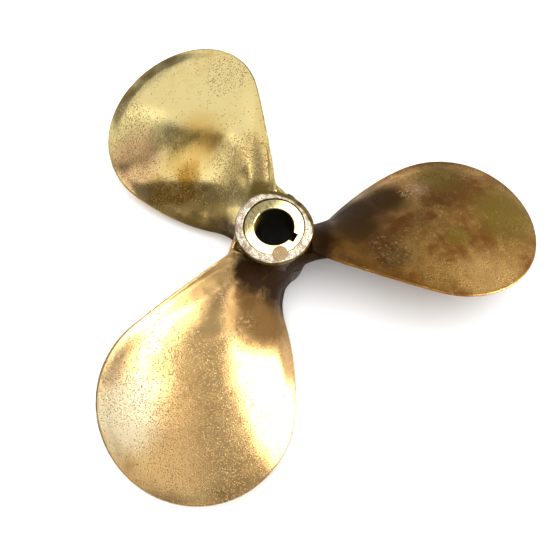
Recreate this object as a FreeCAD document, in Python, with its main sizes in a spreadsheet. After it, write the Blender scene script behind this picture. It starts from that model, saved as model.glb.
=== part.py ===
import FreeCAD, Part
import os

import Sketcher

# Three-blade, left-hand, fixed-pitch bronze boat propeller.
# The casting is a tapered hub with three identical blades; the hub is bored out and sleeved with a
# reducing bush, and a round locking pin stands half in the hub and half in the bush.
# Millimetres. Z is the shaft axis, forward is +Z, and z = 0 is the aft end of the hub.
# The spindle of blade_1 lies along +X; the blades run counter-clockwise from it, seen from forward.

SIZES = {
    # hub
    "hub_length": 65,
    "hub_forward_radius": 25.4,
    "hub_aft_radius": 20,
    "hub_rim_round": 1.2,
    "hub_aft_round": 3,
    "socket_chamfer": 0.5,
    # reducing bush and its fit in the hub
    "bush_forward_radius": 19.4,
    "bush_taper": 10,
    "bush_recess": 0.8,
    "bush_chamfer": 0.4,
    # shaft and key
    "bore_radius": 12.7,
    "keyway_width": 6.35,
    "keyway_floor_radius": 16,
    "keyway_angle": -33,
    # locking pin
    "pin_radius": 5,
    "pin_depth": 12,
    "pin_circle_radius": 18.8,
    "pin_angle": -80,
    # blade outline, seen along the shaft
    "blade_count": 3,
    "tip_radius": 177.8,
    "round_radius": 59.5,
    "round_reach": 117.9,
    "round_skew": 9.7,
    "lead_edge_radius": 888,
    "lead_root_reach": 9.9,
    "lead_root_width": 9.45,
    "trail_edge_radius": 171,
    "trail_round_end": 94.9,
    "trail_straight_end": 40.6,
    "trail_root_radius": 43,
    # blade twist and sections
    "pitch_root": 235,
    "pitch_tip": 339,
    "crest_reach": 105,
    "crest_height": 42.1,
    "tip_drop": 6.9,
    "edge_thickness": 2,
    "section_spread": 2,
    "section_axis_width": 5,
    "section_full_reach": 95,
    "steepest_reach": 24,
}

# Distance of each blade section from the shaft axis, and its greatest thickness.
SECTIONS = [(10, 26), (22, 19), (34, 14.5), (52, 11), (76, 8.8), (104, 7), (132, 5.5), (158, 4.2), (182, 3)]

NAMED_PLANES = {"XY": "XY_Plane", "XZ": "XZ_Plane", "YZ": "YZ_Plane"}
ORIGIN, START, END, CENTRE = (-1, 1), 1, 2, 3
REMOVE_HEIGHT = 60

doc = FreeCAD.newDocument("propeller")


def make_sheet():
    """Put the driving dimensions in a spreadsheet, one aliased cell each."""
    sheet = doc.addObject("Spreadsheet::Sheet", "Sizes")
    rows = list(SIZES.items())
    for index, (reach, thickness) in enumerate(SECTIONS):
        rows += [(f"reach_{index}_section", reach), (f"thickness_{index}_section", thickness)]
    for row, (alias, value) in enumerate(rows, start=1):
        sheet.set(f"A{row}", alias)
        sheet.set(f"B{row}", str(value))
        sheet.setAlias(f"B{row}", alias)
    doc.recompute()
    return sheet


def size(expression):
    """Value of an expression over the sheet's cells."""
    return float(sheet.evalExpression(expression))


def make_body(name):
    body = doc.addObject("PartDesign::Body", name)
    body.Label = name
    return body


def make_sketch(body, name, plane):
    """Sketch on one of the body's own origin planes."""
    sketch = body.newObject("Sketcher::SketchObject", f"{body.Name}_{name}")
    support = next(f for f in body.Origin.OriginFeatures if f.Role == NAMED_PLANES[plane])
    sketch.AttachmentSupport = (support, "")
    sketch.MapMode = "FlatFace"
    return sketch


def bind(sketch, kind, references, expression):
    """Add a dimension to the sketch and drive it from the sheet."""
    index = sketch.addConstraint(Sketcher.Constraint(kind, *references, size(expression)))
    sketch.setExpression(f"Constraints[{index}]", expression)


def place_point(sketch, geometry, point, across, up):
    """Hold a point at a distance across and up from the sketch's origin."""
    bind(sketch, "DistanceX", (*ORIGIN, geometry, point), across)
    bind(sketch, "DistanceY", (*ORIGIN, geometry, point), up)


def add_polygon(sketch, corners):
    """Closed polygon whose corners are pairs of expressions."""
    points = [FreeCAD.Vector(size(across), size(up), 0) for across, up in corners]
    lines = [sketch.addGeometry(Part.LineSegment(start, end))
             for start, end in zip(points, points[1:] + points[:1])]
    for line, following in zip(lines, lines[1:] + lines[:1]):
        sketch.addConstraint(Sketcher.Constraint("Coincident", line, END, following, START))
    for line, (across, up) in zip(lines, corners):
        place_point(sketch, line, START, across, up)


def add_circle(sketch, across, up, radius):
    centre = FreeCAD.Vector(size(across), size(up), 0)
    circle = sketch.addGeometry(Part.Circle(centre, FreeCAD.Vector(0, 0, 1), size(radius)))
    place_point(sketch, circle, CENTRE, across, up)
    bind(sketch, "Radius", (circle,), radius)


def turn(body, sketch, kind, name):
    """Revolution or Groove of a sketch about the shaft axis."""
    feature = body.newObject(kind, f"{body.Name}_{name}")
    feature.Profile = sketch
    feature.ReferenceAxis = (sketch, ["V_Axis"])
    feature.Angle = 360
    return feature


def cut_through(body, sketch, name):
    """Pocket through everything, both ways from the sketch."""
    pocket = body.newObject("PartDesign::Pocket", f"{body.Name}_{name}")
    pocket.Profile = sketch
    pocket.Type = "ThroughAll"
    pocket.Midplane = True
    return pocket


def cut_volume(body, make_cut):
    """Make a cut and confirm that it took material away."""
    doc.recompute()
    before = body.Shape.Volume
    feature = make_cut()
    doc.recompute()
    if body.Shape.Volume > before - 1:
        raise RuntimeError(f"{feature.Name} removed nothing")
    return feature


def edges_at(shape, radius, height):
    """Names of the circular edges with this radius, centred at this height on the shaft axis."""
    return [f"Edge{number}" for number, edge in enumerate(shape.Edges, start=1)
            if hasattr(edge.Curve, "Radius") and abs(edge.Curve.Radius - radius) < 0.01
            and abs(edge.Curve.Center.z - height) < 0.01]


def dress(body, kind, name, base, radius, height, cell):
    """Fillet or Chamfer on the circular edges found at a radius and height."""
    doc.recompute()
    edges = edges_at(base.Shape, size(radius), size(height))
    if not edges:
        raise RuntimeError(f"{body.Name}_{name} found no edge")
    feature = body.newObject(kind, f"{body.Name}_{name}")
    feature.Base = (base, edges)
    feature.setExpression("Radius" if kind == "PartDesign::Fillet" else "Size", cell)
    return feature


SOCKET_AFT = "(Sizes.bush_forward_radius - Sizes.hub_length / Sizes.bush_taper / 2)"
BUSH_TOP = "(Sizes.hub_length - Sizes.bush_recess)"
BUSH_TOP_RADIUS = "(Sizes.bush_forward_radius - Sizes.bush_recess / Sizes.bush_taper / 2)"


def cut_pin_hole(body):
    """Round hole for the locking pin, sunk from the forward face."""
    def make():
        sketch = make_sketch(body, "pin_hole_sketch", "XY")
        sketch.setExpression("AttachmentOffset.Base.z", "Sizes.hub_length - Sizes.pin_depth")
        add_circle(sketch, "Sizes.pin_circle_radius * cos(Sizes.pin_angle * 1 deg)",
                   "Sizes.pin_circle_radius * sin(Sizes.pin_angle * 1 deg)", "Sizes.pin_radius")
        pocket = body.newObject("PartDesign::Pocket", f"{body.Name}_pin_hole")
        pocket.Profile = sketch
        pocket.Type = "ThroughAll"
        pocket.Reversed = True
        return pocket
    return cut_volume(body, make)


def make_hub():
    """Tapered hub, bored to a taper for the bush, with half of the pin hole."""
    body = make_body("hub")
    sketch = make_sketch(body, "profile", "XZ")
    add_polygon(sketch, [
        (SOCKET_AFT, "0"),
        ("Sizes.hub_aft_radius", "0"),
        ("Sizes.hub_forward_radius", "Sizes.hub_length"),
        ("Sizes.bush_forward_radius", "Sizes.hub_length"),
    ])
    casting = turn(body, sketch, "PartDesign::Revolution", "casting")
    rim = dress(body, "PartDesign::Fillet", "rim", casting,
                "Sizes.hub_forward_radius", "Sizes.hub_length", "Sizes.hub_rim_round")
    aft = dress(body, "PartDesign::Fillet", "aft_corner", rim,
                "Sizes.hub_aft_radius", "0", "Sizes.hub_aft_round")
    dress(body, "PartDesign::Chamfer", "socket_mouth", aft,
          "Sizes.bush_forward_radius", "Sizes.hub_length", "Sizes.socket_chamfer")
    cut_pin_hole(body)
    return body


def make_bush():
    """Reducing bush: tapered outside, parallel bore with one keyway, and half of the pin hole."""
    body = make_body("bore_bush")
    sketch = make_sketch(body, "profile", "XZ")
    add_polygon(sketch, [
        ("Sizes.bore_radius", "0"),
        (SOCKET_AFT, "0"),
        (BUSH_TOP_RADIUS, BUSH_TOP),
        ("Sizes.bore_radius", BUSH_TOP),
    ])
    sleeve = turn(body, sketch, "PartDesign::Revolution", "sleeve")
    dress(body, "PartDesign::Chamfer", "forward_corner", sleeve,
          BUSH_TOP_RADIUS, BUSH_TOP, "Sizes.bush_chamfer")

    def make_keyway():
        keyway = make_sketch(body, "keyway_sketch", "XY")
        keyway.AttachmentOffset = FreeCAD.Placement(FreeCAD.Vector(), FreeCAD.Rotation(0, 0, 0))
        keyway.setExpression("AttachmentOffset.Rotation.Angle", "Sizes.keyway_angle * 1 deg")
        half, floor = "Sizes.keyway_width / 2", "Sizes.keyway_floor_radius"
        add_polygon(keyway, [("0", f"-{half}"), (floor, f"-{half}"), (floor, half), ("0", half)])
        return cut_through(body, keyway, "keyway")

    cut_volume(body, make_keyway)
    cut_pin_hole(body)
    return body


def make_pin():
    """Round locking pin across the joint between hub and bush, flush with the hub's face."""
    body = make_body("locking_pin")
    sketch = make_sketch(body, "circle", "XY")
    sketch.setExpression("AttachmentOffset.Base.z", "Sizes.hub_length - Sizes.pin_depth")
    add_circle(sketch, "Sizes.pin_circle_radius * cos(Sizes.pin_angle * 1 deg)",
               "Sizes.pin_circle_radius * sin(Sizes.pin_angle * 1 deg)", "Sizes.pin_radius")
    pad = body.newObject("PartDesign::Pad", "locking_pin_pad")
    pad.Profile = sketch
    pad.setExpression("Length", "Sizes.pin_depth")
    return body


def section_sketch(body, index):
    """Blade section: flat aft face, crowned forward back, square thin edges.

    The section stands across the spindle, tilted to the pitch angle, and its two edges lie a little
    outside the blade's outline, which trims them.
    """
    reach = f"Sizes.reach_{index}_section"
    grown = f"min(1; {reach} / Sizes.section_full_reach)"
    pitch = f"(Sizes.pitch_root + (Sizes.pitch_tip - Sizes.pitch_root) * ({reach} / Sizes.tip_radius) ^ 2)"
    tilt = f"atan({pitch} / (2 * pi * max({reach}; Sizes.steepest_reach)))"
    drop = (f"Sizes.tip_drop * (({reach} - Sizes.crest_reach)"
            " / (Sizes.tip_radius - Sizes.crest_reach)) ^ 2")
    inner = "Sizes.section_axis_width"
    lead = (f"(({inner} + (Sizes.round_radius - Sizes.round_skew - {inner}) * {grown}"
            f" + Sizes.section_spread) / cos({tilt}))")
    trail = (f"(({inner} + (Sizes.round_radius + Sizes.round_skew - {inner}) * {grown}"
             f" + Sizes.section_spread) / cos({tilt}))")
    crown = f"(Sizes.thickness_{index}_section - Sizes.edge_thickness)"
    half_edge = "Sizes.edge_thickness / 2"

    sketch = make_sketch(body, f"section_{index}", "YZ")
    sketch.AttachmentOffset = FreeCAD.Placement(FreeCAD.Vector(), FreeCAD.Rotation(0, 0, 0))
    sketch.setExpression("AttachmentOffset.Base.z", reach)
    sketch.setExpression("AttachmentOffset.Base.y", f"Sizes.crest_height - {drop}")
    sketch.setExpression("AttachmentOffset.Rotation.Angle", f"-{tilt}")

    low, high = -size(half_edge), size(half_edge)
    left, right = -size(lead), size(trail)
    top = high + size(crown)
    corners = [FreeCAD.Vector(*xy, 0) for xy in ((left, high), (left, low), (right, low), (right, high))]
    apex = FreeCAD.Vector((left + right) / 2, top, 0)
    lead_edge = sketch.addGeometry(Part.LineSegment(corners[0], corners[1]))
    face = sketch.addGeometry(Part.LineSegment(corners[1], corners[2]))
    trail_edge = sketch.addGeometry(Part.LineSegment(corners[2], corners[3]))
    back = sketch.addGeometry(Part.Arc(corners[3], apex, corners[0]))
    for line, following in ((lead_edge, face), (face, trail_edge)):
        sketch.addConstraint(Sketcher.Constraint("Coincident", line, END, following, START))
    sketch.addConstraint(Sketcher.Constraint("Coincident", trail_edge, END, back, START))
    sketch.addConstraint(Sketcher.Constraint("Coincident", back, END, lead_edge, START))
    place_point(sketch, lead_edge, START, f"-{lead}", half_edge)
    place_point(sketch, face, START, f"-{lead}", f"-{half_edge}")
    place_point(sketch, trail_edge, START, trail, f"-{half_edge}")
    place_point(sketch, back, START, trail, half_edge)
    bind(sketch, "Radius", (back,), f"(({lead} + {trail}) ^ 2 / 4 + {crown} ^ 2) / (2 * {crown})")
    return sketch


def tangent_circle(near_centre, near_radius, far_radius, point):
    """Centre of a circle of far_radius round the near circle, through the point on its own rim."""
    apart, reach = far_radius - near_radius, far_radius
    line = point - near_centre
    along = (apart ** 2 - reach ** 2 + line.Length ** 2) / (2 * line.Length)
    offset = (apart ** 2 - along ** 2) ** 0.5
    line.normalize()
    return near_centre + line * along + FreeCAD.Vector(line.y, -line.x, 0) * offset


def arc_between(centre, start, end):
    """Counter-clockwise arc about a centre, from the direction of start to that of end."""
    first, last = start - centre, end - centre
    circle = Part.Circle(centre, FreeCAD.Vector(0, 0, 1), first.Length)
    turned = FreeCAD.Vector(1, 0, 0)
    angles = [side.getAngle(turned) * (1 if side.y >= 0 else -1) for side in (first, last)]
    return Part.ArcOfCircle(circle, *angles)


def add_outline(sketch):
    """Blade outline along the shaft: a round, two gently bowed sides and a hollow trailing root."""
    centre = FreeCAD.Vector(size("Sizes.round_reach"), size("Sizes.round_skew"), 0)
    radius = size("Sizes.round_radius")
    lead_radius, trail_radius = size("Sizes.lead_edge_radius"), size("Sizes.trail_edge_radius")
    hollow_radius = size("Sizes.trail_root_radius")
    lead_root = FreeCAD.Vector(size("Sizes.lead_root_reach"), -size("Sizes.lead_root_width"), 0)

    lead_centre = tangent_circle(centre, radius, lead_radius, lead_root)
    lead_join = lead_centre + (centre - lead_centre).normalize() * lead_radius

    across = size("Sizes.trail_round_end") - centre.x
    trail_join = centre + FreeCAD.Vector(across, (radius ** 2 - across ** 2) ** 0.5, 0)
    trail_centre = trail_join + (centre - trail_join).normalize() * trail_radius
    across = size("Sizes.trail_straight_end") - trail_centre.x
    hollow_join = trail_centre + FreeCAD.Vector(across, (trail_radius ** 2 - across ** 2) ** 0.5, 0)
    hollow_centre = hollow_join + (hollow_join - trail_centre).normalize() * hollow_radius
    hollow_end = hollow_centre - FreeCAD.Vector(
        hollow_centre.x, (hollow_radius ** 2 - hollow_centre.x ** 2) ** 0.5, 0)

    lead = sketch.addGeometry(arc_between(lead_centre, lead_root, lead_join))
    tip = sketch.addGeometry(arc_between(centre, lead_join, trail_join))
    trail = sketch.addGeometry(arc_between(trail_centre, trail_join, hollow_join))
    hollow = sketch.addGeometry(arc_between(hollow_centre, hollow_end, hollow_join))
    root = sketch.addGeometry(Part.LineSegment(hollow_end, lead_root))
    sketch.addConstraint([
        Sketcher.Constraint("Tangent", lead, END, tip, START),
        Sketcher.Constraint("Tangent", tip, END, trail, START),
        Sketcher.Constraint("Tangent", trail, END, hollow, END),
        Sketcher.Constraint("Coincident", hollow, START, root, START),
        Sketcher.Constraint("Coincident", root, END, lead, START),
    ])
    place_point(sketch, tip, CENTRE, "Sizes.round_reach", "Sizes.round_skew")
    place_point(sketch, lead, START, "Sizes.lead_root_reach", "-Sizes.lead_root_width")
    bind(sketch, "Radius", (tip,), "Sizes.round_radius")
    bind(sketch, "Radius", (lead,), "Sizes.lead_edge_radius")
    bind(sketch, "Radius", (trail,), "Sizes.trail_edge_radius")
    bind(sketch, "Radius", (hollow,), "Sizes.trail_root_radius")
    bind(sketch, "DistanceX", (*ORIGIN, tip, END), "Sizes.trail_round_end")
    bind(sketch, "DistanceX", (*ORIGIN, trail, END), "Sizes.trail_straight_end")
    sketch.addConstraint(Sketcher.Constraint("PointOnObject", hollow, START, -2))


def make_blade(number):
    """One blade: a loft through its sections, trimmed to its outline and to the hub's cone."""
    body = make_body(f"blade_{number}")
    sections = [section_sketch(body, index) for index in range(len(SECTIONS))]
    loft = body.newObject("PartDesign::AdditiveLoft", f"{body.Name}_loft")
    loft.Profile = sections[0]
    loft.Sections = sections[1:]
    loft.Ruled = False

    def trim_outline():
        outline = make_sketch(body, "outline", "XY")
        far, wide = "Sizes.tip_radius * 1.2", "Sizes.tip_radius * 0.7"
        add_polygon(outline, [("-Sizes.hub_length", f"-{wide}"), (far, f"-{wide}"),
                              (far, wide), ("-Sizes.hub_length", wide)])
        add_outline(outline)
        return cut_through(body, outline, "trim")

    def clear_hub():
        cone = make_sketch(body, "hub_cone", "XZ")
        below, above = f"-{REMOVE_HEIGHT}", f"Sizes.hub_length + {REMOVE_HEIGHT}"
        add_polygon(cone, [("0", below), ("Sizes.hub_aft_radius", below), ("Sizes.hub_aft_radius", "0"),
                           ("Sizes.hub_forward_radius", "Sizes.hub_length"),
                           ("Sizes.hub_forward_radius", above), ("0", above)])
        return turn(body, cone, "PartDesign::Groove", "hub_clearance")

    cut_volume(body, trim_outline)
    cut_volume(body, clear_hub)
    body.Placement.Rotation = FreeCAD.Rotation(FreeCAD.Vector(0, 0, 1), 0)
    body.setExpression("Placement.Rotation.Angle", f"360 deg / Sizes.blade_count * {number - 1}")
    return body


def check(parts):
    """Stop unless every object recomputed and every sub-part is one valid solid."""
    for thing in doc.Objects:
        if {"Invalid", "Error"} & set(thing.State):
            raise RuntimeError(f"{thing.Name} failed: {thing.State}")
    for part in parts:
        if part.Shape.isNull() or not part.Shape.isValid() or len(part.Shape.Solids) != 1:
            raise RuntimeError(f"{part.Label} is not one valid solid")


sheet = make_sheet()
parts = [make_hub(), make_bush(), make_pin()]
parts += [make_blade(number) for number in range(1, int(size("Sizes.blade_count")) + 1)]
doc.recompute()
check(parts)

os.makedirs("parts", exist_ok=True)
for part in parts:
    part.Shape.exportStep(f"parts/{part.Label}.step")
    box = part.Shape.BoundBox
    print(f"{part.Label}: {part.Shape.Volume / 1000:.1f} cm3,"
          f" x {box.XMin:.1f}..{box.XMax:.1f}, y {box.YMin:.1f}..{box.YMax:.1f},"
          f" z {box.ZMin:.1f}..{box.ZMax:.1f}")
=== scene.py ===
import math

import bmesh
import bpy
import numpy as np
from mathutils import Matrix, Quaternion, Vector, noise


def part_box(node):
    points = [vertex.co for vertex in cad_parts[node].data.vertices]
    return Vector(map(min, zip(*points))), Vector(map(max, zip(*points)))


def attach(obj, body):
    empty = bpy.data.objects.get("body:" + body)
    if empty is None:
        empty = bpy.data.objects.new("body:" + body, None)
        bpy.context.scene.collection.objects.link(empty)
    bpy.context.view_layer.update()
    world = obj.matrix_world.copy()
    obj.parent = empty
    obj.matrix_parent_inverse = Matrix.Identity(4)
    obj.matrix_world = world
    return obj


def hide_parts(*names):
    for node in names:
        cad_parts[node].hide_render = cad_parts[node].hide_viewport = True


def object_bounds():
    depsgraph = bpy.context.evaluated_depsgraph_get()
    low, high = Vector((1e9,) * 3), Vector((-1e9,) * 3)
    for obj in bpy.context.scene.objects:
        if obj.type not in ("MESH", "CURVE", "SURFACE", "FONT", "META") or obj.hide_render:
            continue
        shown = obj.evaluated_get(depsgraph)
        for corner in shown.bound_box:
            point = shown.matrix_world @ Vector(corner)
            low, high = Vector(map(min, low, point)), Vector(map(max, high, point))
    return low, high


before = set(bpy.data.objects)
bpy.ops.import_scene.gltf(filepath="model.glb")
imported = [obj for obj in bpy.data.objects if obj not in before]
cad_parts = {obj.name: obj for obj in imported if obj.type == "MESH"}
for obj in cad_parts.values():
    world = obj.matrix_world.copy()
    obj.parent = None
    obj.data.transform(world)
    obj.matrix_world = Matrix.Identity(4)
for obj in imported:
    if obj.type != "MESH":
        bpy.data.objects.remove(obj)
cad_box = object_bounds()

# ------------------------------------------------------------------ sizes, in metres
MM = 0.001

# Hub, bush and pin, as in the CAD model.
HUB_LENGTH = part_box("hub")[1].z
HUB_FORWARD_RADIUS = 25.4 * MM
HUB_AFT_RADIUS = 20 * MM
HUB_AFT_ROUND = 3 * MM
BUSH_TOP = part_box("bore_bush")[1].z
BUSH_RADIUS = 19.4 * MM
BUSH_TAPER = 10
BORE_RADIUS = 12.7 * MM
KEYWAY_WIDTH = 6.35 * MM
KEYWAY_FLOOR = 16 * MM
KEYWAY_ANGLE = math.radians(-33)
PIN_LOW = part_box("locking_pin")[0].z
PIN_RADIUS = 5 * MM
PIN_CIRCLE = 18.8 * MM
PIN_ANGLE = math.radians(-80)
PIN_CENTRE = (PIN_CIRCLE * math.cos(PIN_ANGLE), PIN_CIRCLE * math.sin(PIN_ANGLE))

# Corners, their wear and the gap between pieces, finer than in the CAD model.
HUB_RIM_ROUND, HUB_RIM_WORN = 1.2 * MM, 3.4 * MM
HUB_WORN_ANGLE, HUB_WORN_SPREAD = math.radians(46), math.radians(34)
MOUTH_CORNER, MOUTH_WORN = 0.2 * MM, 0.7 * MM
MOUTH_WORN_ANGLE, MOUTH_WORN_SPREAD = math.radians(148), math.radians(55)
BUSH_CORNER, BUSH_MOUTH = 0.3 * MM, 0.5 * MM
PIN_CORNER = 0.35 * MM
JOINT_GAP = 0.1 * MM

# Blade, with its spindle along +X, as in the CAD model.
BLADE_COUNT = 3
TIP_RADIUS = 177.8 * MM
ROUND_CENTRE = np.array([117.9, 9.7]) * MM
ROUND_RADIUS = 59.5 * MM
LEAD_ROOT = np.array([9.9, -9.45]) * MM
LEAD_RADIUS = 888 * MM
TRAIL_RADIUS = 171 * MM
TRAIL_ROUND_END = 94.9 * MM
TRAIL_STRAIGHT_END = 40.6 * MM
TRAIL_ROOT_RADIUS = 43 * MM
PITCH_ROOT, PITCH_TIP = 235 * MM, 339 * MM
STEEPEST_REACH = 24 * MM
CREST_REACH, CREST_HEIGHT, TIP_DROP = 105 * MM, 42.1 * MM, 6.9 * MM
EDGE_THICKNESS = 2 * MM

# Thickness and root of the blade, thinner and softer at the hub than in the CAD model.
THICKNESS_REACH = np.array([10, 34, 52, 76, 104, 132, 158, 182]) * MM
THICKNESS = np.array([15, 12.6, 10.8, 8.8, 7, 5.5, 4.2, 3]) * MM
FACE_FILLET, BACK_FILLET, LEAD_FILLET, TRAIL_FILLET = 24 * MM, 8 * MM, 3 * MM, 5 * MM
ROOT_MARGIN, SMALLEST_FILLET, ROOT_SINK = 1.2 * MM, 0.6 * MM, 0.15 * MM

# Casting and grinding of the blade, which the CAD model leaves out.
EDGE_FADE = 12 * MM
RIPPLE = 0.35 * MM
RIPPLE_WAVES = ((38 * MM, 1), (15 * MM, 0.3))
FOLD_LENGTH, FOLD_WIDTH, FOLD_REACH = 45 * MM, 9 * MM, 100 * MM
FOLD_SHARES = (0.5, 0.0, 1.2)
OUTLINE_SHRINK = 0.9992

# How far a cutter stands clear of the piece it cuts.
CUT_CLEAR = 5 * MM

# Fineness of the meshes, and the angles in degrees above which an edge stays sharp.
FILLET_ROWS, BLADE_ROWS, CHORD_STEPS = 12, 130, 56
ROOT_SAMPLES, FILLET_SMOOTHING, OUTWARD_EASE = 300, 8, 1.25
TURN_STEPS, BAR_STEPS = 192, 72
SHARP_EDGE, SHARP_PIN_EDGE = 32, 40


# ------------------------------------------------------------------ mesh helpers
def new_object(name, vertices, faces, material):
    """Smooth-shaded mesh object, put in the scene."""
    mesh = bpy.data.meshes.new(name)
    mesh.from_pydata([tuple(v) for v in vertices], [], faces)
    mesh.validate()
    mesh.shade_smooth()
    piece = bpy.data.objects.new(name, mesh)
    bpy.context.scene.collection.objects.link(piece)
    if material:
        mesh.materials.append(material)
    return piece


def ring_faces(rows, columns, closed_ends):
    """Quads between rows of a closed loop, with an n-gon on each end that is asked for."""
    faces = []
    for row in range(rows - 1):
        for column in range(columns):
            following = (column + 1) % columns
            low, high = row * columns, (row + 1) * columns
            faces.append((low + column, low + following, high + following, high + column))
    first, last = closed_ends
    if first:
        faces.append(tuple(range(columns - 1, -1, -1)))
    if last:
        faces.append(tuple(range((rows - 1) * columns, rows * columns)))
    return faces


def turned(name, profile_at, material):
    """Ring about the shaft axis from the closed profile of (radius, height) points at each angle."""
    angles = np.linspace(0, 2 * math.pi, TURN_STEPS, endpoint=False)
    vertices = [(r * math.cos(a), r * math.sin(a), z) for a in angles for r, z in profile_at(a)]
    count = len(vertices) // TURN_STEPS
    faces = []
    for turn in range(TURN_STEPS):
        this, after = turn * count, (turn + 1) % TURN_STEPS * count
        for step in range(count):
            following = (step + 1) % count
            faces.append((this + step, after + step, after + following, this + following))
    return new_object(name, vertices, faces, material)


def arc(centre, radius, start, end, steps):
    """Points (radius, height) on an arc of a profile, angles in degrees."""
    angles = np.radians(np.linspace(start, end, steps))
    return [(centre[0] + radius * math.cos(a), centre[1] + radius * math.sin(a)) for a in angles]


def line(start, end, steps):
    """Points (radius, height) on a straight stretch of a profile."""
    return [tuple(p) for p in np.linspace(start, end, steps)]


def cylinder(name, radius, low, high, centre, bevel, material):
    """Closed round bar with a bevelled forward edge."""
    rows = [(radius, low), (radius, (low + high) / 2), (radius, high - bevel)]
    rows += [(radius - bevel * (1 - math.cos(a)), high - bevel + bevel * math.sin(a))
             for a in np.radians((30, 60, 90))]
    rows += [(radius * share, high) for share in (0.7, 0.4, 0.1)]
    vertices = []
    for r, z in rows:
        for angle in np.linspace(0, 2 * math.pi, BAR_STEPS, endpoint=False):
            vertices.append((centre[0] + r * math.cos(angle), centre[1] + r * math.sin(angle), z))
    return new_object(name, vertices, ring_faces(len(rows), BAR_STEPS, (True, True)), material)


def cut(piece, cutter):
    """Subtract a cutter from a piece and throw the cutter away."""
    modifier = piece.modifiers.new("cut", "BOOLEAN")
    modifier.operation = "DIFFERENCE"
    modifier.solver = "EXACT"
    modifier.object = cutter
    bpy.context.view_layer.update()
    evaluated = piece.evaluated_get(bpy.context.evaluated_depsgraph_get())
    mesh = bpy.data.meshes.new_from_object(evaluated)
    piece.modifiers.clear()
    piece.data = mesh
    bpy.data.objects.remove(cutter)


def shade_by_angle(piece, degrees):
    """Smooth shading with hard edges where faces meet at more than an angle."""
    piece.data.shade_smooth()
    mesh = bmesh.new()
    mesh.from_mesh(piece.data)
    for edge in mesh.edges:
        edge.smooth = len(edge.link_faces) != 2 or edge.calc_face_angle(0) < math.radians(degrees)
    mesh.to_mesh(piece.data)
    mesh.free()


# ------------------------------------------------------------------ blade
def hub_radius(height):
    """Outside radius of the tapered hub."""
    return HUB_AFT_RADIUS + (HUB_FORWARD_RADIUS - HUB_AFT_RADIUS) * height / HUB_LENGTH


def blade_slope(x):
    """How steeply the screw surface falls across the blade, at x along the spindle."""
    pitch = PITCH_ROOT + (PITCH_TIP - PITCH_ROOT) * (x / TIP_RADIUS) ** 2
    return pitch / (2 * math.pi * np.maximum(x, STEEPEST_REACH))


def blade_middle(x, y):
    """Height of the screw surface between face and back."""
    crest = CREST_HEIGHT - TIP_DROP * ((x - CREST_REACH) / (TIP_RADIUS - CREST_REACH)) ** 2
    return crest - blade_slope(x) * y


def screw_normal(x, y):
    """Unit normals of the screw surface, on its forward side."""
    step = 0.05 * MM
    slope_x = (blade_middle(x + step, y) - blade_middle(x - step, y)) / (2 * step)
    slope_y = (blade_middle(x, y + step) - blade_middle(x, y - step)) / (2 * step)
    normal = np.column_stack((-slope_x, -slope_y, np.ones(len(x))))
    return normal / np.linalg.norm(normal, axis=1)[:, None]


def circle_points(centre, radius, start, end, steps):
    """Plan points on a circle, angles in radians."""
    angles = np.linspace(start, end, steps)
    return centre + radius * np.column_stack((np.cos(angles), np.sin(angles)))


def direction_angle(vector):
    """Angle of a plan vector from +X."""
    return math.atan2(vector[1], vector[0])


def blade_outline():
    """Leading and trailing edges from root to tip, seen along the shaft, as dense polylines."""
    to_root = LEAD_ROOT - ROUND_CENTRE
    length = np.linalg.norm(to_root)
    apart = LEAD_RADIUS - ROUND_RADIUS
    along = (apart ** 2 - LEAD_RADIUS ** 2 + length ** 2) / (2 * length)
    side = np.array([to_root[1], -to_root[0]]) / length
    lead_centre = ROUND_CENTRE + to_root / length * along + side * math.sqrt(apart ** 2 - along ** 2)
    lead_angle = direction_angle(ROUND_CENTRE - lead_centre)
    tip_angle = direction_angle(ROUND_CENTRE)
    lead = np.vstack((
        circle_points(lead_centre, LEAD_RADIUS, direction_angle(LEAD_ROOT - lead_centre), lead_angle, 200),
        circle_points(ROUND_CENTRE, ROUND_RADIUS, lead_angle, tip_angle, 400)[1:]))

    across = TRAIL_ROUND_END - ROUND_CENTRE[0]
    round_angle = math.acos(across / ROUND_RADIUS)
    away = np.array([math.cos(round_angle), math.sin(round_angle)])
    trail_centre = ROUND_CENTRE + away * (ROUND_RADIUS - TRAIL_RADIUS)
    hollow_angle = math.acos((TRAIL_STRAIGHT_END - trail_centre[0]) / TRAIL_RADIUS)
    away = np.array([math.cos(hollow_angle), math.sin(hollow_angle)])
    hollow_centre = trail_centre + away * (TRAIL_RADIUS + TRAIL_ROOT_RADIUS)
    root_angle = -math.acos(-hollow_centre[0] / TRAIL_ROOT_RADIUS)
    trail = np.vstack((
        circle_points(hollow_centre, TRAIL_ROOT_RADIUS, root_angle, hollow_angle - math.pi, 100),
        circle_points(trail_centre, TRAIL_RADIUS, hollow_angle, round_angle, 150)[1:],
        circle_points(ROUND_CENTRE, ROUND_RADIUS, round_angle, tip_angle, 400)[1:]))
    return lead, trail


def along_edge(points, shares):
    """Points at shares of a polyline's length."""
    steps = np.linalg.norm(np.diff(points, axis=0), axis=1)
    reached = np.concatenate(([0], np.cumsum(steps))) / steps.sum()
    return np.column_stack([np.interp(shares, reached, points[:, axis]) for axis in (0, 1)])


def edge_distance(plan, outline):
    """Distance of each plan point from the blade's outline, a batch of the outline at a time."""
    batch = 100
    nearest = np.full(len(plan), np.inf)
    for start in range(0, len(outline), batch):
        gap = plan[:, None, :] - outline[None, start:start + batch, :]
        nearest = np.minimum(nearest, np.sqrt((gap ** 2).sum(axis=2)).min(axis=1))
    return nearest


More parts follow.
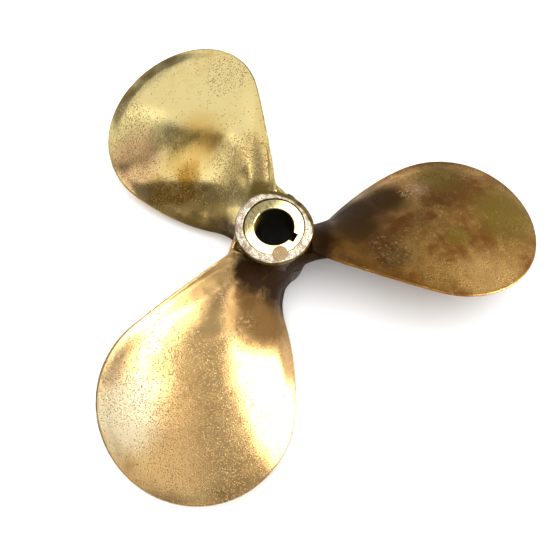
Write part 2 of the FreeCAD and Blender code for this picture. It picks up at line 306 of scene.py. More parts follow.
def ripple(x, y, seed, fold_share):
    """Slow hand-ground unevenness of a blade's surface, with folds that run out from the root."""
    heights = []
    for px, py in zip(x, y):
        height = sum(share * noise.noise(Vector((px / size, py / size, seed)))
                     for size, share in RIPPLE_WAVES)
        fade = max(0, 1 - px / FOLD_REACH) ** 0.7
        fold = noise.noise(Vector((px / FOLD_LENGTH, py / FOLD_WIDTH, seed + 5)))
        heights.append(height + fade * fold_share * fold)
    return np.array(heights)


class BladeShape:
    """The blade's skin as points: one row for each share of its length, one column for each chord place."""

    def __init__(self, number):
        self.seed = 10 * number
        self.fold_share = FOLD_SHARES[number - 1]
        self.lead, self.trail = (edge * OUTLINE_SHRINK for edge in blade_outline())
        self.outline = np.vstack((self.lead, self.trail[::-1]))
        chord = -np.cos(np.linspace(0, math.pi, CHORD_STEPS + 1))
        self.chord = np.concatenate((chord, chord[-2:0:-1]))
        self.side = np.where(np.arange(len(self.chord)) <= CHORD_STEPS, 1, -1)

    def skin(self, shares):
        """Points at shares of the length: an array of rows by columns."""
        rows = len(shares)
        weight = (1 + np.tile(self.chord, rows))[:, None] / 2
        lead = along_edge(self.lead, shares.reshape(-1))
        trail = along_edge(self.trail, shares.reshape(-1))
        plan = lead * (1 - weight) + trail * weight
        x, y = plan.T
        across, side = np.tile(self.chord, rows), np.tile(self.side, rows)
        inside = edge_distance(plan, self.outline)
        nose = EDGE_THICKNESS / 2
        offset = nose * np.sqrt(1 - (1 - np.minimum(inside / nose, 1)) ** 2)
        crown = np.interp(x, THICKNESS_REACH, THICKNESS) - EDGE_THICKNESS
        swell = 1 - (1 - np.minimum(inside / EDGE_FADE, 1)) ** 2
        offset += np.where(side > 0, crown * (1 - across ** 2) * swell, 0)
        offset += RIPPLE * ripple(x, y, self.seed, self.fold_share) * np.minimum(inside / EDGE_FADE, 1)
        points = np.column_stack((x, y, blade_middle(x, y))) + (side * offset)[:, None] * screw_normal(x, y)
        return points.reshape(rows, len(self.chord), 3)

    def rows(self):
        """Loops from the hub's surface, round the root fillet and out to the tip, and the tip's middle."""
        columns = len(self.chord)
        fine = np.linspace(0, 0.5, ROOT_SAMPLES)
        base = self.skin(np.tile(fine[:, None], (1, columns)))
        gap = np.hypot(base[..., 0], base[..., 1]) - hub_radius(base[..., 2])

        def at_gap(wanted):
            """Where each column stands its own distance clear of the hub."""
            return np.array([[np.interp(wanted[c], gap[:, c], base[:, c, axis]) for axis in range(3)]
                             for c in range(columns)])

        def outward_from(loop):
            """Direction away from the blade at each column, on the unrolled hub."""
            x, y, z = loop.T
            unrolled = np.column_stack((np.arctan2(y, x) * np.hypot(x, y), z))
            tangent = np.roll(unrolled, -1, axis=0) - np.roll(unrolled, 1, axis=0)
            outward = np.column_stack((tangent[:, 1], -tangent[:, 0]))
            outward /= np.linalg.norm(outward, axis=1)[:, None]
            inwards = ((unrolled - unrolled.mean(axis=0)) * outward).sum() < 0
            return -outward if inwards else outward

        touch = at_gap(np.zeros(columns))
        rise = outward_from(touch)[:, 1]
        room = np.where(rise > 0, HUB_LENGTH - ROOT_MARGIN - touch[:, 2], touch[:, 2] - ROOT_MARGIN)
        middle = np.where(self.side > 0, BACK_FILLET, FACE_FILLET)
        end = np.where(self.chord < 0, LEAD_FILLET, TRAIL_FILLET)
        fillet = end + (middle - end) * (1 - self.chord ** 12)
        largest = np.maximum(room / np.maximum(np.abs(rise), 0.1), SMALLEST_FILLET)
        for _ in range(FILLET_SMOOTHING):
            fillet = np.minimum(fillet, largest)
            fillet = (np.roll(fillet, 1) + fillet + np.roll(fillet, -1)) / 3
        outward = outward_from(at_gap(fillet))

        rows = []
        for angle in np.linspace(math.pi / 2, 0, FILLET_ROWS):
            clear, spread = fillet * (1 - math.sin(angle)), fillet * (1 - math.cos(angle))
            point = at_gap(clear)
            around = np.arctan2(point[:, 1], point[:, 0])
            around += outward[:, 0] * spread / np.hypot(point[:, 0], point[:, 1])
            height = point[:, 2] + outward[:, 1] * spread
            reach = hub_radius(height) + clear - (ROOT_SINK if angle == math.pi / 2 else 0)
            rows.append(np.column_stack((reach * np.cos(around), reach * np.sin(around), height)))

        first = np.array([np.interp(fillet[c], gap[:, c], fine) for c in range(columns)])
        eased = 1 - (1 - np.linspace(0, 1, BLADE_ROWS)[1:-1, None]) ** OUTWARD_EASE
        rows += list(self.skin(first * (1 - eased) + eased))
        tip = self.skin(np.ones((1, columns)))[0].mean(axis=0)
        return np.array(rows), tip


def make_blade(number, material):
    """Blade with its root fillet, turned to its place round the hub."""
    rows, tip = BladeShape(number).rows()
    count, columns = rows.shape[:2]
    vertices = np.vstack((rows.reshape(-1, 3), tip))
    angle = 2 * math.pi * (number - 1) / BLADE_COUNT
    turn = np.array(Matrix.Rotation(angle, 3, "Z"))
    faces = ring_faces(count, columns, (True, False))
    last = (count - 1) * columns
    faces += [(last + c, last + (c + 1) % columns, count * columns) for c in range(columns)]
    piece = new_object(f"blade_{number}_skin", vertices @ turn.T, faces, material)
    mesh = bmesh.new()
    mesh.from_mesh(piece.data)
    bmesh.ops.recalc_face_normals(mesh, faces=mesh.faces)
    mesh.to_mesh(piece.data)
    mesh.free()
    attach(piece, "root")
    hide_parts(f"blade_{number}")
    return piece


# ------------------------------------------------------------------ hub, bush and pin
def pin_cutter():
    """Bar that leaves the pin's hole, open at the forward face."""
    top = HUB_LENGTH + CUT_CLEAR
    return cylinder("pin_cutter", PIN_RADIUS + JOINT_GAP, PIN_LOW, top, PIN_CENTRE, JOINT_GAP, None)


def rim_round(angle):
    """Radius of the hub's forward corner: hand-dressed, and worn well back on one side."""
    away = math.remainder(angle - HUB_WORN_ANGLE, 2 * math.pi) / HUB_WORN_SPREAD
    uneven = noise.noise(Vector((2.2 * math.cos(angle), 2.2 * math.sin(angle), 7)))
    return HUB_RIM_ROUND * (1 + 0.35 * uneven) + HUB_RIM_WORN * math.exp(-away ** 4) * (1 + 0.3 * uneven)


def socket_mouth(angle):
    """Size of the worn corner at the mouth of the bush's socket, widest on one side."""
    away = math.remainder(angle - MOUTH_WORN_ANGLE, 2 * math.pi) / MOUTH_WORN_SPREAD
    return MOUTH_CORNER + MOUTH_WORN * math.exp(-away ** 4)


def hub_profile(angle):
    """Hub's section at an angle, from the socket's aft edge round the outside and back down the socket."""
    socket_aft = BUSH_RADIUS - HUB_LENGTH / BUSH_TAPER / 2
    chamfer = socket_mouth(angle)
    lean = math.degrees(math.atan2(HUB_FORWARD_RADIUS - HUB_AFT_RADIUS, HUB_LENGTH))
    corner = rim_round(angle)
    rim = (hub_radius(HUB_LENGTH - corner) - corner / math.cos(math.radians(lean)), HUB_LENGTH - corner)
    aft = (hub_radius(HUB_AFT_ROUND) - HUB_AFT_ROUND / math.cos(math.radians(lean)), HUB_AFT_ROUND)
    profile = line((socket_aft, 0), (aft[0], 0), 3)
    profile += arc(aft, HUB_AFT_ROUND, -90, -lean, 8)[1:]
    profile += arc(rim, corner, -lean, 90, 14)
    profile += line((rim[0], HUB_LENGTH), (BUSH_RADIUS + chamfer, HUB_LENGTH), 5)[1:]
    profile += line((BUSH_RADIUS, HUB_LENGTH - chamfer), (socket_aft, 0), 6)[:-1]
    return profile


def make_hub(material):
    """Tapered hub with the bush's socket and half of the pin's hole."""
    piece = turned("hub_skin", hub_profile, material)
    cut(piece, pin_cutter())
    shade_by_angle(piece, SHARP_EDGE)
    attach(piece, "root")
    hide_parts("hub")
    return piece


def make_bush(material):
    """Tapered sleeve with the shaft bore, half of the pin's hole and the keyway."""
    aft = BUSH_RADIUS - HUB_LENGTH / BUSH_TAPER / 2 - JOINT_GAP
    top = BUSH_RADIUS - (HUB_LENGTH - BUSH_TOP) / BUSH_TAPER / 2 - JOINT_GAP
    profile = line((BORE_RADIUS, 0), (aft, 0), 3)
    shoulder = (top - BUSH_CORNER, BUSH_TOP)
    profile += line((top - BUSH_CORNER / BUSH_TAPER, BUSH_TOP - BUSH_CORNER), shoulder, 2)
    profile += line(shoulder, (BORE_RADIUS + BUSH_MOUTH, BUSH_TOP), 6)[1:]
    profile += line((BORE_RADIUS, BUSH_TOP - BUSH_MOUTH), (BORE_RADIUS, 0), 6)[:-1]
    piece = turned("bush_skin", lambda angle: profile, material)
    cut(piece, pin_cutter())

    half = KEYWAY_WIDTH / 2
    corners = [(x, y, z) for z in (-CUT_CLEAR, HUB_LENGTH + CUT_CLEAR)
               for x, y in ((0, -half), (KEYWAY_FLOOR, -half), (KEYWAY_FLOOR, half), (0, half))]
    turn = Matrix.Rotation(KEYWAY_ANGLE, 3, "Z")
    cutter = new_object("keyway_cutter", [turn @ Vector(c) for c in corners],
                        ring_faces(2, 4, (True, True)), None)
    cut(piece, cutter)
    shade_by_angle(piece, SHARP_EDGE)
    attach(piece, "root")
    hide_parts("bore_bush")
    return piece


def make_pin(material):
    """Round locking pin, flush with the hub's forward face."""
    piece = cylinder("locking_pin_skin", PIN_RADIUS, PIN_LOW, HUB_LENGTH, PIN_CENTRE, PIN_CORNER, material)
    shade_by_angle(piece, SHARP_PIN_EDGE)
    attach(piece, "root")
    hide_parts("locking_pin")
    return piece


# ------------------------------------------------------------------ materials
# Colours of the bronze, its patina and its crust.
YELLOW, PALE, PINK = (0.82, 0.68, 0.31), (0.84, 0.75, 0.52), (0.60, 0.36, 0.18)
AMBER, HONEY, SAND = (0.74, 0.46, 0.16), (0.62, 0.45, 0.18), (0.56, 0.38, 0.11)
GINGER, RUSSET, DRAB = (0.62, 0.39, 0.16), (0.60, 0.38, 0.16), (0.46, 0.32, 0.17)
TAWNY, UMBER, OLIVE = (0.66, 0.41, 0.095), (0.36, 0.18, 0.020), (0.26, 0.18, 0.025)
EARTH, BARK, MOSS = (0.10, 0.048, 0.010), (0.038, 0.018, 0.004), (0.09, 0.056, 0.009)
SOOT, PIT, FLECK = (0.022, 0.010, 0.003), (0.20, 0.085, 0.012), (0.70, 0.46, 0.27)

# Most that the border of a patch of colour wanders.
WIDEST_WOBBLE = 16 * MM


class Shader:
    """Small helper that builds a node material over the object's own coordinates, in metres."""

    def __init__(self, name):
        self.material = bpy.data.materials.new(name)
        self.material.use_nodes = True
        self.tree = self.material.node_tree
        self.surface = self.tree.nodes["Principled BSDF"]
        self.position = self.add("ShaderNodeTexCoord").outputs["Object"]
        parts = self.add("ShaderNodeSeparateXYZ", Vector=self.position)
        self.height = parts.outputs["Z"]
        self.plan = self.add("ShaderNodeCombineXYZ", X=parts.outputs["X"], Y=parts.outputs["Y"]).outputs[0]
        length = self.add("ShaderNodeVectorMath", {"operation": "LENGTH"}, Vector=self.plan)
        self.radius = length.outputs["Value"]

    def add(self, kind, settings=None, **inputs):
        """New node, with its settings and its inputs by name."""
        node = self.tree.nodes.new(kind)
        for key, value in (settings or {}).items():
            setattr(node, key, value)
        for key, value in inputs.items():
            self.put(node.inputs[key], value)
        return node

    def put(self, socket, value):
        """Link another node's output to a socket, or set the socket to a plain value."""
        if isinstance(value, bpy.types.NodeSocket):
            self.tree.links.new(value, socket)
        else:
            socket.default_value = value

    def shifted(self, seed, stretch=(1, 1, 1), degrees=0):
        """Position turned about the shaft, then stretched and moved to where no other pattern is."""
        rotated = self.add("ShaderNodeMapping", Vector=self.position, Rotation=(0, 0, math.radians(degrees)))
        return self.add("ShaderNodeMapping", Vector=rotated.outputs["Vector"], Location=(seed, seed / 2, 0),
                        Scale=stretch).outputs["Vector"]

    def noise(self, grain, detail, roughness, distortion, seed, stretch=(1, 1, 1), degrees=0):
        """Noise whose features are about grain metres across."""
        return self.add("ShaderNodeTexNoise", Vector=self.shifted(seed, stretch, degrees), Scale=1 / grain,
                        Detail=detail, Roughness=roughness, Distortion=distortion).outputs["Fac"]

    def dots(self, spacing, size, share, seed):
        """Small round dots scattered spacing metres apart; share is how many of the places hold one."""
        cells = self.add("ShaderNodeTexVoronoi", Vector=self.shifted(seed), Scale=1 / spacing)
        inside = self.calc("SUBTRACT", size, cells.outputs["Distance"])
        chosen = self.calc("SUBTRACT", share, cells.outputs["Color"])
        return self.calc("MULTIPLY", self.remap(inside, 0.0, 0.12), self.remap(chosen, -0.03, 0.05))

    def calc(self, operation, first, second):
        """One step of arithmetic."""
        node = self.add("ShaderNodeMath", {"operation": operation})
        self.put(node.inputs[0], first)
        self.put(node.inputs[1], second)
        return node.outputs[0]

    def remap(self, value, low, high, to_low=0.0, to_high=1.0):
        """Smooth step from to_low to to_high as the value goes from low to high."""
        node = self.add("ShaderNodeMapRange", {"interpolation_type": "SMOOTHSTEP"})
        for socket, amount in zip(node.inputs, (value, low, high, to_low, to_high)):
            self.put(socket, amount)
        return node.outputs[0]

    def mix(self, share, first, second):
        """Blend of two colours, through the colour sockets of the Mix node: 6 and 7 in, 2 out."""
        node = self.add("ShaderNodeMix", {"data_type": "RGBA"})
        self.put(node.inputs["Factor"], share)
        for key, colour in ((6, first), (7, second)):
            self.put(node.inputs[key], colour if isinstance(colour, bpy.types.NodeSocket) else (*colour, 1))
        return node.outputs[2]

    def away(self, place):
        """Distance from a place seen along the shaft."""
        node = self.add("ShaderNodeVectorMath", {"operation": "DISTANCE"})
        self.put(node.inputs[0], self.plan)
        node.inputs[1].default_value = (*place, 0)
        return node.outputs["Value"]

    def near(self, place, reach, wobble):
        """1 round a place seen along the shaft, falling to 0 at reach from it, with an uneven border."""
        shift = self.calc("MULTIPLY", self.calc("SUBTRACT", wobble, 0.5), 0.9 * min(reach, WIDEST_WOBBLE))
        return self.remap(self.calc("ADD", self.away(place), shift), 0.3 * reach, reach, 1.0, 0.0)

    def patch(self, x, y, reach, share, wobble):
        """Share at a place in millimetres, falling to 0 at reach from it."""
        return self.calc("MULTIPLY", self.near((x * MM, y * MM), reach * MM, wobble), share)

    def finish(self, colour, roughness, metallic, bumps, shine=0.5):
        """Connect the surface.

        Bumps are (height, distance in metres, strength); shine is for the unmetallic part.
        """
        self.surface.inputs["Specular IOR Level"].default_value = shine
        self.put(self.surface.inputs["Base Color"], colour)
        self.put(self.surface.inputs["Roughness"], roughness)
        self.put(self.surface.inputs["Metallic"], metallic)
        normal = None
        for height, distance, strength in bumps:
            bump = self.add("ShaderNodeBump", Height=height, Distance=distance, Strength=strength)
            if normal:
                self.put(bump.inputs["Normal"], normal)
            normal = bump.outputs["Normal"]
        self.put(self.surface.inputs["Normal"], normal)
        return self.material


def cast_bronze(number, seed, metal, patina, patina_share, pit_share, pit_shade, gloss, wave, crust_reach,
                patches, crusts, pit_patches, fleck_patches):
    """Old cast bronze: rubbed metal, brown patina, fine pits, pale flecks and a dark crusted root.

    patches and crusts are (x, y, reach, colour, share), pit_patches and fleck_patches (x, y, reach, share),
    in millimetres; a crust is dull, a patch keeps the gleam of the metal.
    """
    shader = Shader(f"blade_{number}_bronze")
    cloud = shader.noise(40 * MM, 5.0, 0.6, 0.5, seed)
    mottle = shader.noise(8 * MM, 6.0, 0.65, 0.3, seed + 1)
    grain = shader.noise(0.85 * MM, 2.0, 0.6, 0.0, seed + 2)
    rub = shader.noise(6 * MM, 4.0, 0.6, 0.0, seed + 3, (1, 0.18, 1))

    blotch = shader.calc("ADD", shader.calc("MULTIPLY", cloud, 0.6), shader.calc("MULTIPLY", mottle, 0.4))
    covered = shader.remap(blotch, 0.66 - 0.34 * patina_share, 0.84 - 0.34 * patina_share)
    colour = shader.mix(covered, metal, patina)
    for x, y, reach, tone, share in patches:
        colour = shader.mix(shader.patch(x, y, reach, share, mottle), colour, tone)
    colour = shader.mix(shader.remap(rub, 0.5, 0.8, 0.0, 0.25), colour, patina)

    turn = Matrix.Rotation(2 * math.pi * (number - 1) / BLADE_COUNT, 2)
    centre = turn @ Vector(ROUND_CENTRE)
    from_centre = shader.calc("ADD", shader.away(centre), shader.calc("MULTIPLY", mottle, 9 * MM))
    rim = shader.remap(from_centre, ROUND_RADIUS + 0.5 * MM, ROUND_RADIUS + 5 * MM, 0.0, 0.6)
    colour = shader.mix(rim, colour, patina)

    crowd = shader.remap(shader.noise(24 * MM, 3.0, 0.6, 0.4, seed + 4), 0.3, 0.7, 0.03, pit_share)
    for x, y, reach, share in pit_patches:
        crowd = shader.calc("MAXIMUM", crowd, shader.patch(x, y, reach, share, mottle))
    fine = shader.dots(1.15 * MM, 0.42, crowd, seed + 5)
    coarse = shader.dots(2.2 * MM, 0.34, shader.calc("MULTIPLY", crowd, 0.3), seed + 6)
    pits = shader.calc("MAXIMUM", fine, coarse)
    colour = shader.mix(shader.remap(grain, 0.45, 0.7, 0.0, 0.35), colour, patina)
    colour = shader.mix(shader.calc("MULTIPLY", pits, pit_shade), colour, PIT)

    from_shaft = shader.calc("ADD", shader.radius, shader.calc("MULTIPLY", mottle, 14 * MM))
    dull = shader.remap(from_shaft, crust_reach * MM, (crust_reach + 14) * MM, 1.0, 0.0)
    colour = shader.mix(dull, colour, SOOT)
    for x, y, reach, tone, share in crusts:
        crust = shader.patch(x, y, reach, share, mottle)
        colour = shader.mix(crust, colour, tone)
        dull = shader.calc("MAXIMUM", dull, crust)
    flecks = shader.remap(shader.noise(2.4 * MM, 6.0, 0.8, 0.0, seed + 7), 0.52, 0.62)
    for x, y, reach, share in fleck_patches:
        strewn = shader.calc("MULTIPLY", flecks, shader.patch(x, y, reach, share, mottle))
        colour = shader.mix(strewn, colour, FLECK)

    roughness = shader.remap(mottle, 0.3, 0.7, gloss - 0.03, gloss + 0.05)
    for cover, rougher in ((covered, 0.05), (pits, 0.2), (dull, 0.2)):
        roughness = shader.calc("ADD", roughness, shader.calc("MULTIPLY", cover, rougher))
    metallic = shader.remap(dull, 0.0, 1.0, 1.0, 0.0)
    bumps = ((pits, -0.15 * MM, 0.7), (grain, 0.07 * MM, 0.5), (mottle, wave * MM, 0.5),
             (rub, 0.1 * MM, 0.3))
    return shader.finish(colour, roughness, metallic, bumps, shine=0.02)


def hub_bronze():
    """Hub casting: dark barrel, partly weathered and partly painted shade, olive corner, pale scraped ring
    round the bush.
    """
    shader = Shader("hub_bronze")
    mottle = shader.noise(7 * MM, 5.0, 0.65, 0.3, 31)
    grain = shader.noise(1 * MM, 4.0, 0.7, 0.0, 32)
    patches = shader.noise(4.5 * MM, 5.0, 0.65, 0.8, 33)
    ring = shader.mix(shader.remap(patches, 0.42, 0.56), (0.94, 0.86, 0.70), (0.50, 0.38, 0.28))
    ring = shader.mix(shader.remap(grain, 0.5, 0.62, 0.0, 0.8), ring, (0.26, 0.16, 0.07))
    # Barrel colours near black: partly weathering, partly painted shade.
    barrel = shader.mix(shader.remap(mottle, 0.35, 0.7), (0.018, 0.007, 0.002), (0.07, 0.026, 0.005))
    rim = shader.mix(shader.remap(patches, 0.4, 0.65), (0.13, 0.10, 0.022), (0.07, 0.036, 0.01))
    worn = shader.calc("ADD", shader.height, shader.calc("MULTIPLY", mottle, 0.5 * MM))
    colour = shader.mix(shader.remap(worn, HUB_LENGTH - 6 * MM, HUB_LENGTH - 3 * MM), barrel, rim)
    face = shader.remap(worn, HUB_LENGTH - 0.1 * MM, HUB_LENGTH + 0.1 * MM)
    reach = shader.calc("ADD", shader.away((-5 * MM, -6.5 * MM)), shader.calc("MULTIPLY", mottle, 2 * MM))
    face = shader.calc("MULTIPLY", face, shader.remap(reach, 29.8 * MM, 30.6 * MM, 1.0, 0.0))
    colour = shader.mix(face, colour, ring)
    # Dark grime in the joint round the bush, and painted shade down the worn mouth of the socket.
    joint = shader.remap(shader.radius, BUSH_RADIUS + 0.2 * MM, BUSH_RADIUS + 0.5 * MM, 1.0, 0.0)
    hollow = shader.remap(shader.height, HUB_LENGTH - 0.4 * MM, HUB_LENGTH - 0.05 * MM, 1.0, 0.0)
    inside = shader.remap(shader.radius, BUSH_RADIUS + 1.6 * MM, BUSH_RADIUS + 1.9 * MM, 1.0, 0.0)
    joint_grime_and_painted_shade = shader.calc("MAXIMUM", joint, shader.calc("MULTIPLY", hollow, inside))
    colour = shader.mix(shader.calc("MULTIPLY", joint_grime_and_painted_shade, 0.85), colour, (0.04, 0.02, 0.008))
    gloss = shader.remap(grain, 0.3, 0.7, 0.2, 0.4)
    bumps = ((mottle, 0.3 * MM, 0.5), (grain, 0.12 * MM, 0.8))
    return shader.finish(colour, gloss, shader.remap(face, 0.0, 1.0), bumps, shine=0.02)


def machined_bronze():
    """Bush: bright turned face with rings left by the tool, bore painted near black as shade, with painted
    light on one side.
    """
    shader = Shader("bush_bronze")
    lathe = shader.add("ShaderNodeTexNoise", {"noise_dimensions": "1D"}, W=shader.radius,
                       Scale=1 / (0.5 * MM), Detail=3.0, Roughness=0.6)
    rings = lathe.outputs["Fac"]
    scratches = shader.noise(1.2 * MM, 3.0, 0.6, 0.0, 42, (1, 0.12, 1), -30)
    mottle = shader.noise(6 * MM, 4.0, 0.6, 0.4, 41)
    bright = shader.mix(shader.remap(mottle, 0.35, 0.7), (0.93, 0.78, 0.40), (0.88, 0.70, 0.30))
    bright = shader.mix(shader.remap(scratches, 0.52, 0.66, 0.0, 0.5), bright, (0.42, 0.33, 0.10))
    inner = shader.remap(shader.radius, BUSH_RADIUS - 2 * MM, BUSH_RADIUS - 1 * MM, 1.0, 0.0)
    below = shader.remap(shader.height, BUSH_TOP - 0.6 * MM, BUSH_TOP - 0.1 * MM, 1.0, 0.0)
    deep = shader.calc("MULTIPLY", inner, below)
    # The bore's wall is painted near black as shade.
    painted_bore_shading = shader.mix(mottle, (0.007, 0.005, 0.002), (0.02, 0.014, 0.004))
    # Painted light: one side of the bore is browner and lighter, fading deeper in.
    side = shader.near((-BORE_RADIUS, 2 * MM), 11 * MM, mottle)
    side = shader.calc("MULTIPLY", side, shader.remap(shader.height, BUSH_TOP - 16 * MM, BUSH_TOP, 0.0, 1.0))
    painted_bore_shading = shader.mix(side, painted_bore_shading, (0.20, 0.13, 0.02))
    colour = shader.mix(deep, bright, painted_bore_shading)
    gloss = shader.remap(rings, 0.3, 0.7, 0.03, 0.07)
    gloss = shader.calc("ADD", gloss, shader.calc("MULTIPLY", deep, 0.4))
    bumps = ((rings, 0.008 * MM, 0.4), (scratches, 0.012 * MM, 0.4))
    return shader.finish(colour, gloss, shader.remap(deep, 0.0, 1.0, 1.0, 0.0), bumps, shine=0.03)


def pin_bronze():
    """Locking pin: dull filed end, browner than the bush."""
    shader = Shader("pin_bronze")
    mottle = shader.noise(3 * MM, 5.0, 0.65, 0.2, 51)
    grain = shader.noise(0.8 * MM, 3.0, 0.6, 0.0, 52)
    colour = shader.mix(shader.remap(mottle, 0.3, 0.7), (0.66, 0.48, 0.27), (0.52, 0.36, 0.19))
    colour = shader.mix(shader.remap(grain, 0.5, 0.75, 0.0, 0.4), colour, (0.14, 0.085, 0.04))
    bumps = ((mottle, 0.2 * MM, 0.6), (grain, 0.08 * MM, 0.7))
    return shader.finish(colour, shader.remap(grain, 0.3, 0.7, 0.42, 0.58), 1.0, bumps)


def floor_paint():
    """Matt near-white paper."""
    shader = Shader("studio_floor")
    cloud = shader.noise(0.4, 3.0, 0.5, 0.0, 61)
    colour = shader.mix(cloud, (0.88, 0.88, 0.88), (0.92, 0.92, 0.92))
    return shader.finish(colour, 0.9, 0.0, ((cloud, 0.1 * MM, 0.1),))


# ------------------------------------------------------------------ studio
# Distances are in metres and angles in degrees; the lens and sensor are in millimetres.
LAMP_DISTANCE = 1.5
LAMP_COLOUR = (1, 0.985, 0.95)
SKY_AZIMUTH, SKY_ELEVATION, SKY_SPREAD = 60, 86, 70
FLOOR_HALF = 30
WALL_RADIUS, WALL_LOW, WALL_HIGH, WALL_SIDES = 12, -1, 8, 64
CAMERA_PLACE = Vector((6.2, -144.7, 392.2)) * MM
CAMERA_AIM = Vector((-0.019, 0.3233, -0.9461))
CAMERA_RIGHT = Vector((0.9992, -0.0284, -0.0297))
CAMERA_LENS, CAMERA_SENSOR = 36.74, 36

# Brightness of the room at sines of the elevation.
ROOM_LEVELS = ((0.04, 0.5), (0.25, 0.24), (0.7, 0.24), (0.88, 0.36))


def hang(light, azimuth, elevation, roll, receivers, blockers):
    """Hang a lamp in a direction from the propeller, shining only on the receivers.

    Only the blockers cast its shadow; with none given, everything does.
    """
    lamp = bpy.data.objects.new(light.name, light)
    bpy.context.scene.collection.objects.link(lamp)
    a, e = math.radians(azimuth), math.radians(elevation)
    away = Vector((math.cos(e) * math.cos(a), math.cos(e) * math.sin(a), math.sin(e)))
    lamp.location = Vector((0, 0, HUB_LENGTH / 2)) + away * LAMP_DISTANCE
    facing = away.to_track_quat("Z", "Y") @ Quaternion((0, 0, 1), math.radians(roll))
    lamp.rotation_euler = facing.to_euler()
    lamp.light_linking.receiver_collection = bpy.data.collections.new(f"{light.name}_receivers")
    for piece in receivers:
        lamp.light_linking.receiver_collection.objects.link(piece)
    if blockers:
        lamp.light_linking.blocker_collection = bpy.data.collections.new(f"{light.name}_blockers")
        for piece in blockers:
            lamp.light_linking.blocker_collection.objects.link(piece)


def soft_light(name, azimuth, elevation, width, height, radiance, receivers, roll=0.0):
    """Rectangular softbox, its size given in degrees as seen from the propeller."""
    light = bpy.data.lights.new(name, "AREA")
    light.shape = "RECTANGLE"
    light.size = 2 * LAMP_DISTANCE * math.tan(math.radians(width / 2))
    light.size_y = 2 * LAMP_DISTANCE * math.tan(math.radians(height / 2))
    light.energy = radiance * light.size * light.size_y * math.pi
    light.color = LAMP_COLOUR
    hang(light, azimuth, elevation, roll, receivers, ())


def sky_light(name, strength, receivers, blockers):
    """Wide even light from almost straight above."""
    light = bpy.data.lights.new(name, "SUN")
    light.energy = strength
    light.angle = math.radians(SKY_SPREAD)
    hang(light, SKY_AZIMUTH, SKY_ELEVATION, 0, receivers, blockers)


def make_floor():
    """Wide paper floor that the propeller lies on."""
    low = cad_box[0][2]
    corners = [(x * FLOOR_HALF, y * FLOOR_HALF, low) for x, y in ((-1, -1), (1, -1), (1, 1), (-1, 1))]
    floor = new_object("floor", corners, [(0, 1, 2, 3)], floor_paint())
    return floor


def make_backdrop():
    """Plain white wall far round the floor, seen by the camera only, so nothing reflects it."""
    turns = [math.tau * side / WALL_SIDES for side in range(WALL_SIDES)]
    levels = (cad_box[0][2] + WALL_LOW, WALL_HIGH)
    corners = [(WALL_RADIUS * math.cos(turn), WALL_RADIUS * math.sin(turn), z)
               for z in levels for turn in turns]
    paint = bpy.data.materials.new("backdrop_paint")
    paint.use_nodes = True
    surface = paint.node_tree.nodes["Principled BSDF"]
    surface.inputs["Base Color"].default_value = (0, 0, 0, 1)
    surface.inputs["Specular IOR Level"].default_value = 0
    surface.inputs["Emission Color"].default_value = (1, 1, 1, 1)
    surface.inputs["Emission Strength"].default_value = 1
    backdrop = new_object("backdrop", corners, ring_faces(2, WALL_SIDES, (False, False)), paint)
    backdrop.visible_diffuse = False
    backdrop.visible_glossy = False
    backdrop.visible_shadow = False


def make_camera():
    """Camera above and in front of the hub, turned almost square to the blades."""
    aim = CAMERA_AIM.normalized()
    right = (CAMERA_RIGHT - aim * CAMERA_RIGHT.dot(aim)).normalized()
    turn = Matrix((right, right.cross(aim), -aim)).transposed()
    camera = bpy.data.objects.new("camera", bpy.data.cameras.new("camera"))
    bpy.context.scene.collection.objects.link(camera)
    camera.matrix_world = Matrix.Translation(CAMERA_PLACE) @ turn.to_4x4()
    camera.data.sensor_width = CAMERA_SENSOR
    camera.data.lens = CAMERA_LENS
    camera.data.clip_start = 10 * MM
    bpy.context.scene.camera = camera


def make_world():
    """Room round the studio: paler at the horizon and overhead, dim between."""
    world = bpy.data.worlds.new("studio")
    world.use_nodes = True
    nodes, links = world.node_tree.nodes, world.node_tree.links
    direction = nodes.new("ShaderNodeTexCoord")
    split = nodes.new("ShaderNodeSeparateXYZ")
    ramp = nodes.new("ShaderNodeValToRGB")
    ramp.color_ramp.interpolation = "EASE"
    while len(ramp.color_ramp.elements) < len(ROOM_LEVELS):
        ramp.color_ramp.elements.new(0.5)
    for stop, (place, level) in zip(ramp.color_ramp.elements, ROOM_LEVELS):
        stop.position = place
        stop.color = (level, level, level, 1)
    links.new(direction.outputs["Generated"], split.inputs[0])
    links.new(split.outputs["Z"], ramp.inputs[0])
    links.new(ramp.outputs[0], nodes["Background"].inputs["Color"])
    bpy.context.scene.world = world


def make_studio(pieces, last_blade):
    """Floor, wall, room, soft panels with sky light over the floor, and the camera.

    Each panel is azimuth and elevation in degrees, width and height in degrees, then radiance.
    """
    floor = make_floor()
    make_backdrop()
    make_world()
    soft_light("left_far_panel", 125.5, 42, 40, 40, 0.75, pieces)
    soft_light("left_near_panel", 176.4, 43.7, 17.5, 34, 1.05, pieces, roll=48.6)
    soft_light("left_low_panel", 158, 26, 22, 14, 0.7, pieces)
    soft_light("right_panel", -10, 20, 36, 48, 8, pieces)
    soft_light("overhead_strip", -62.6, 75.3, 10, 22, 8, pieces, roll=-57)
    soft_light("top_panel", 80, 70.6, 15, 15, 3.2, pieces, roll=49)
    soft_light("high_panel", -58, 87, 12, 13, 8, [last_blade])
    soft_light("front_panel", -95, 50, 32, 36, 0.76, pieces)
    soft_light("front_right_panel", -47, 49, 27, 42, 0.2, pieces)
    soft_light("back_panel", 42, 26, 40, 36, 0.5, pieces)
    sky_light("floor_light", 2.4, [floor], ())
    sky_light("floor_fill", 1.8, [floor], [floor])
    make_camera()
    bpy.context.scene.view_settings.view_transform = "Standard"
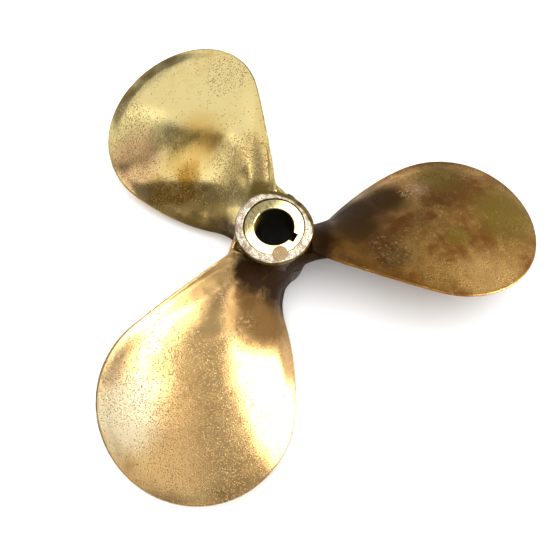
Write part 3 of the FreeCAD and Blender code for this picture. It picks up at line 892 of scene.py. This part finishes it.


# ------------------------------------------------------------------ blades, each with its own wear, blade_1 darkened partly as painted shade
def brown_blade_in_painted_shade():
    """Weathered brown blade, olive in places, with a dark crusted root; its dark bronze is partly patina,
    partly painted shade.
    """
    return cast_bronze(
        # Metal and patina darker than on the other blades: partly weathering, partly painted shade.
        number=1, seed=1, metal=(0.54, 0.31, 0.088), patina=(0.23, 0.09, 0.015), patina_share=0.75,
        pit_share=0.9, pit_shade=0.7, gloss=0.26, wave=0.25, crust_reach=42,
        patches=(
            (102, 40, 9, PINK, 0.9), (120, 52, 26, OLIVE, 0.7), (158, 15, 34, OLIVE, 0.9),
            (120, -5, 12, OLIVE, 0.8), (135, -38, 30, AMBER, 0.8)),
        crusts=(
            (54, 4, 28, BARK, 0.95), (56, 22, 28, BARK, 1.0), (80, 32, 26, BARK, 0.95),
            (74, -20, 22, BARK, 0.85)),
        pit_patches=((120, -20, 60, 1.0),),
        fleck_patches=((100, 40, 16, 0.9), (74, -16, 20, 0.3), (150, -45, 44, 0.25)))


def yellow_blade():
    """Brightest blade: rubbed yellow, with a brown band across its middle that is partly stain, partly
    painted reflection.
    """
    return cast_bronze(
        number=2, seed=12, metal=YELLOW, patina=(0.74, 0.55, 0.22), patina_share=0.4,
        pit_share=0.3, pit_shade=0.65, gloss=0.09, wave=0.05, crust_reach=24,
        # The tawny and umber patches about (-60, 60) darken the band across the middle: partly stain, partly
        # painted reflection.
        patches=(
            (-104, 72, 36, PINK, 0.85), (-62, 56, 14, TAWNY, 0.8), (-54, 76, 30, TAWNY, 0.8),
            (-44, 76, 12, UMBER, 0.5), (-62, 55, 13, UMBER, 0.9), (-15, 52, 28, HONEY, 0.6),
            (-72, 66, 12, SAND, 0.8), (-84, 44, 22, UMBER, 0.9), (-64, 40, 20, UMBER, 0.95),
            (-48, 32, 20, UMBER, 0.95), (-42, 22, 14, UMBER, 0.9), (-112, 132, 10, UMBER, 0.7),
            (-96, 146, 10, UMBER, 0.7), (-76, 154, 10, UMBER, 0.6)),
        # The bark and moss crusts at (-44, 14), (-64, 24) and (-80, 32) darken the low part near the root:
        # partly crust, partly painted shade.
        crusts=(
            (-33, 12, 12, BARK, 0.9), (-44, 14, 25, BARK, 0.9), (-64, 24, 20, MOSS, 0.85),
            (-80, 32, 14, MOSS, 0.5), (-10, 31, 13, MOSS, 0.9)),
        pit_patches=(
            (-18, 50, 34, 1.0), (-105, 85, 38, 0.9), (-30, 125, 28, 0.75), (-110, 110, 22, 0.9),
            (-70, 35, 34, 0.9)),
        fleck_patches=())


def golden_blade():
    """Golden blade, polished by wear, with a sooty root."""
    return cast_bronze(
        number=3, seed=23, metal=(0.67, 0.45, 0.19), patina=(0.57, 0.355, 0.145), patina_share=0.5,
        pit_share=0.5, pit_shade=0.5, gloss=0.19, wave=0.12, crust_reach=24,
        # The pale patch at (-92, -112) is partly rubbed metal, partly a painted highlight.
        patches=(
            (-92, -112, 32, PALE, 0.8), (-60, -112, 28, GINGER, 0.7), (-60, -138, 26, RUSSET, 0.7),
            (-104, -82, 20, DRAB, 0.8)),
        crusts=(
            (-10, -53, 32, EARTH, 0.9), (-20, -38, 14, EARTH, 0.85), (2, -28, 26, SOOT, 1.0),
            (-16, -26, 18, SOOT, 1.0), (-20, -24, 12, SOOT, 1.0), (16, -32, 20, SOOT, 1.0)),
        pit_patches=((-50, -130, 60, 0.9), (-92, -104, 30, 0.8), (-55, -85, 30, 0.8)),
        fleck_patches=((-34, -42, 12, 0.6), (-22, -58, 10, 0.4)))


bronzes = (brown_blade_in_painted_shade(), yellow_blade(), golden_blade())
blades = [make_blade(number, bronze) for number, bronze in enumerate(bronzes, start=1)]
pieces = blades + [make_hub(hub_bronze()), make_bush(machined_bronze()), make_pin(pin_bronze())]
make_studio(pieces, blades[-1])
